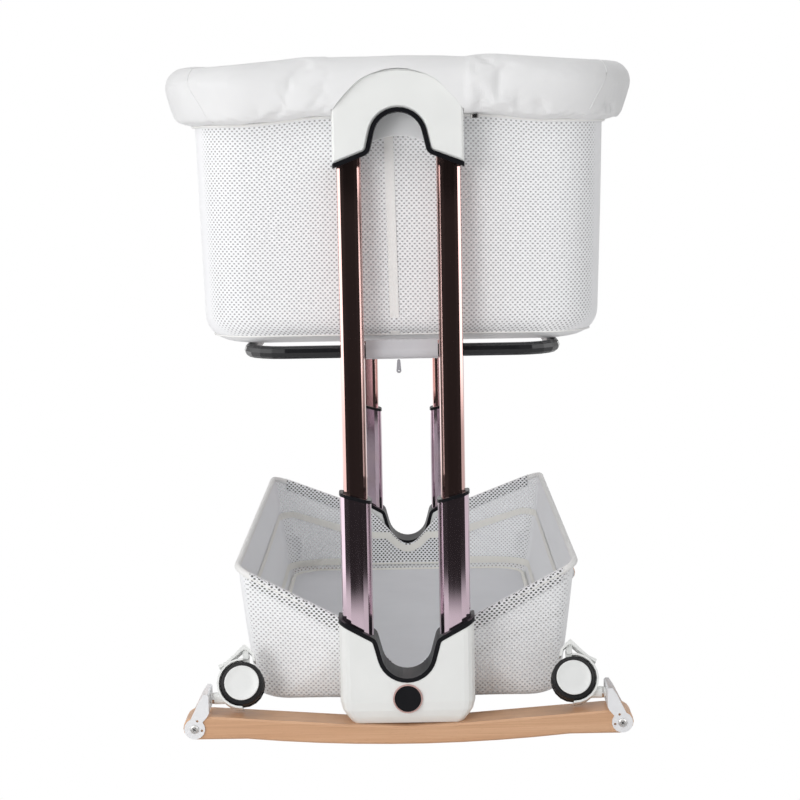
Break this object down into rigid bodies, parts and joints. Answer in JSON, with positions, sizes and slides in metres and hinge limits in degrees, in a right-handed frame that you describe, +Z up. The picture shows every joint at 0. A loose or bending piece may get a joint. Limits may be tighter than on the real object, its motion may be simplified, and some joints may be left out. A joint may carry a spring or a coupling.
{
  "type": "bedside bassinet",
  "caption": "Bedside bassinet on two wooden rocker skis with telescopic legs, a padded mesh body, a mesh basket below and fold-away casters.",
  "frame": {"origin": "on the floor, under the centre of the object", "axes": "+Z up; Y is the length, with the near end and its badge at -Y; X is the width, along which it rocks; left is -X"},
  "size_m": [0.557, 0.907, 0.829],
  "materials": {
    "beech": "clear varnish, fine grain along the ski",
    "white_plastic": "fine satin",
    "black_plastic": "satin",
    "rose_gold": "anodised, smooth",
    "screw_steel": "plated",
    "rail_steel": "drawn wire and tube, plated",
    "tyre_rubber": "smooth",
    "paddle_plastic": "satin",
    "white_painted_steel": "powder coated",
    "black_painted_steel": "gloss coated",
    "rim_fabric": "woven cotton, padded",
    "mesh_fabric": "knitted spacer mesh",
    "sleeve_fabric": "woven",
    "mattress_fabric": "woven cotton over foam",
    "grey_panel": "woven cover over stiff board"
  },
  "bodies": {
    "base": {"ski_near": "beech", "ski_far": "beech", "lower_housing_near": "white_plastic", "lower_housing_far": "white_plastic", "lower_trim_near": "black_plastic", "lower_trim_far": "black_plastic", "badge_plate": "black_plastic", "badge_ring": "rose_gold", "lower_tube_near_left": "rose_gold", "lower_tube_near_right": "rose_gold", "lower_tube_far_left": "rose_gold", "lower_tube_far_right": "rose_gold", "guide_collar_near_left": "black_plastic", "guide_collar_near_right": "black_plastic", "guide_collar_far_left": "black_plastic", "guide_collar_far_right": "black_plastic", "basket_rail_left": "rail_steel", "basket_rail_right": "rail_steel", "basket_mesh": "mesh_fabric", "basket_floor": "grey_panel", "pivot_screw_near_left": "screw_steel", "pivot_screw_near_right": "screw_steel", "pivot_screw_far_left": "screw_steel", "pivot_screw_far_right": "screw_steel"},
    "bassinet": {"upper_tube_near_left": "rose_gold", "upper_tube_near_right": "rose_gold", "upper_tube_far_left": "rose_gold", "upper_tube_far_right": "rose_gold", "top_housing_near": "white_plastic", "top_housing_far": "white_plastic", "top_trim_near": "black_plastic", "top_trim_far": "black_plastic", "rim_tube_left": "rail_steel", "rim_tube_right": "rail_steel", "rim_pad": "rim_fabric", "mesh_body": "mesh_fabric", "bottom_frame": "black_painted_steel", "mattress": "mattress_fabric", "frame_sleeve_near": "sleeve_fabric", "frame_sleeve_far": "sleeve_fabric"},
    "paddle_near": {"release_paddle_near": "paddle_plastic"},
    "paddle_far": {"release_paddle_far": "paddle_plastic"},
    "rim_zip": {"rim_zip_slider": "screw_steel"},
    "sleeve_zip": {"zip_pull": "screw_steel"},
    "caster_bracket_near_left": {"bracket_near_left": "white_painted_steel"},
    "caster_fork_near_left": {"fork_near_left": "white_plastic"},
    "caster_wheels_near_left": {"wheels_near_left": "tyre_rubber"},
    "brake_pedal_near_left": {"pedal_near_left": "white_plastic"},
    "caster_bracket_near_right": {"bracket_near_right": "white_painted_steel"},
    "caster_fork_near_right": {"fork_near_right": "white_plastic"},
    "caster_wheels_near_right": {"wheels_near_right": "tyre_rubber"},
    "brake_pedal_near_right": {"pedal_near_right": "white_plastic"},
    "caster_bracket_far_left": {"bracket_far_left": "white_painted_steel"},
    "caster_fork_far_left": {"fork_far_left": "white_plastic"},
    "caster_wheels_far_left": {"wheels_far_left": "tyre_rubber"},
    "brake_pedal_far_left": {"pedal_far_left": "white_plastic"},
    "caster_bracket_far_right": {"bracket_far_right": "white_painted_steel"},
    "caster_fork_far_right": {"fork_far_right": "white_plastic"},
    "caster_wheels_far_right": {"wheels_far_right": "tyre_rubber"},
    "brake_pedal_far_right": {"pedal_far_right": "white_plastic"}
  },
  "joints": [
    {"name": "height_adjust", "type": "slide", "parent": "base", "child": "bassinet", "axis": [0, 0, 1], "range_m": [-0.135, 0.03]},
    {"name": "release_near", "type": "slide", "parent": "bassinet", "child": "paddle_near", "axis": [0, 0, 1], "range_m": [0, 0.006], "stiffness_N_per_m": 400, "springref_m": -0.004},
    {"name": "release_far", "type": "slide", "parent": "bassinet", "child": "paddle_far", "axis": [0, 0, 1], "range_m": [0, 0.006], "stiffness_N_per_m": 400, "springref_m": -0.004},
    {"name": "caster_fold_near_left", "type": "hinge", "parent": "base", "child": "caster_bracket_near_left", "pos_m": [-0.2595, -0.4225, 0.0236], "axis": [0, -1, 0], "range_deg": [0, 270]},
    {"name": "caster_swivel_near_left", "type": "hinge", "parent": "caster_bracket_near_left", "child": "caster_fork_near_left", "pos_m": [-0.2595, -0.4225, 0.0548], "axis": [1, 0, 0], "range_deg": [-65, 115]},
    {"name": "wheels_spin_near_left", "type": "hinge", "parent": "caster_fork_near_left", "child": "caster_wheels_near_left", "pos_m": [-0.2025, -0.41574, 0.0693], "axis": [0, 0.9063, -0.4226], "continuous": true},
    {"name": "brake_press_near_left", "type": "hinge", "parent": "caster_fork_near_left", "child": "brake_pedal_near_left", "pos_m": [-0.1985, -0.40124, 0.10039], "axis": [0, 0.9063, -0.4226], "range_deg": [0, 18]},
    {"name": "caster_fold_near_right", "type": "hinge", "parent": "base", "child": "caster_bracket_near_right", "pos_m": [0.2595, -0.4225, 0.0236], "axis": [0, 1, 0], "range_deg": [0, 270]},
    {"name": "caster_swivel_near_right", "type": "hinge", "parent": "caster_bracket_near_right", "child": "caster_fork_near_right", "pos_m": [0.2595, -0.4225, 0.0548], "axis": [1, 0, 0], "range_deg": [-65, 115]},
    {"name": "wheels_spin_near_right", "type": "hinge", "parent": "caster_fork_near_right", "child": "caster_wheels_near_right", "pos_m": [0.2025, -0.41574, 0.0693], "axis": [0, 0.9063, -0.4226], "continuous": true},
    {"name": "brake_press_near_right", "type": "hinge", "parent": "caster_fork_near_right", "child": "brake_pedal_near_right", "pos_m": [0.1985, -0.40124, 0.10039], "axis": [0, -0.9063, 0.4226], "range_deg": [0, 18]},
    {"name": "caster_fold_far_left", "type": "hinge", "parent": "base", "child": "caster_bracket_far_left", "pos_m": [-0.2595, 0.4225, 0.0236], "axis": [0, -1, 0], "range_deg": [0, 270]},
    {"name": "caster_swivel_far_left", "type": "hinge", "parent": "caster_bracket_far_left", "child": "caster_fork_far_left", "pos_m": [-0.2595, 0.4225, 0.0548], "axis": [1, 0, 0], "range_deg": [-115, 65]},
    {"name": "wheels_spin_far_left", "type": "hinge", "parent": "caster_fork_far_left", "child": "caster_wheels_far_left", "pos_m": [-0.2025, 0.41574, 0.0693], "axis": [0, 0.9063, 0.4226], "continuous": true},
    {"name": "brake_press_far_left", "type": "hinge", "parent": "caster_fork_far_left", "child": "brake_pedal_far_left", "pos_m": [-0.1985, 0.40124, 0.10039], "axis": [0, 0.9063, 0.4226], "range_deg": [0, 18]},
    {"name": "caster_fold_far_right", "type": "hinge", "parent": "base", "child": "caster_bracket_far_right", "pos_m": [0.2595, 0.4225, 0.0236], "axis": [0, 1, 0], "range_deg": [0, 270]},
    {"name": "caster_swivel_far_right", "type": "hinge", "parent": "caster_bracket_far_right", "child": "caster_fork_far_right", "pos_m": [0.2595, 0.4225, 0.0548], "axis": [1, 0, 0], "range_deg": [-115, 65]},
    {"name": "wheels_spin_far_right", "type": "hinge", "parent": "caster_fork_far_right", "child": "caster_wheels_far_right", "pos_m": [0.2025, 0.41574, 0.0693], "axis": [0, 0.9063, 0.4226], "continuous": true},
    {"name": "brake_press_far_right", "type": "hinge", "parent": "caster_fork_far_right", "child": "brake_pedal_far_right", "pos_m": [0.1985, 0.40124, 0.10039], "axis": [0, -0.9063, -0.4226], "range_deg": [0, 18]},
    {"name": "rim_zip_travel", "type": "slide", "parent": "bassinet", "child": "rim_zip", "axis": [0.9955, 0, -0.095], "range_m": [0, 0.078]},
    {"name": "sleeve_zip_pull_swing", "type": "hinge", "parent": "bassinet", "child": "sleeve_zip", "pos_m": [-0.004, -0.391, 0.46278], "axis": [1, 0, 0], "range_deg": [-60, 60]}
  ]
}
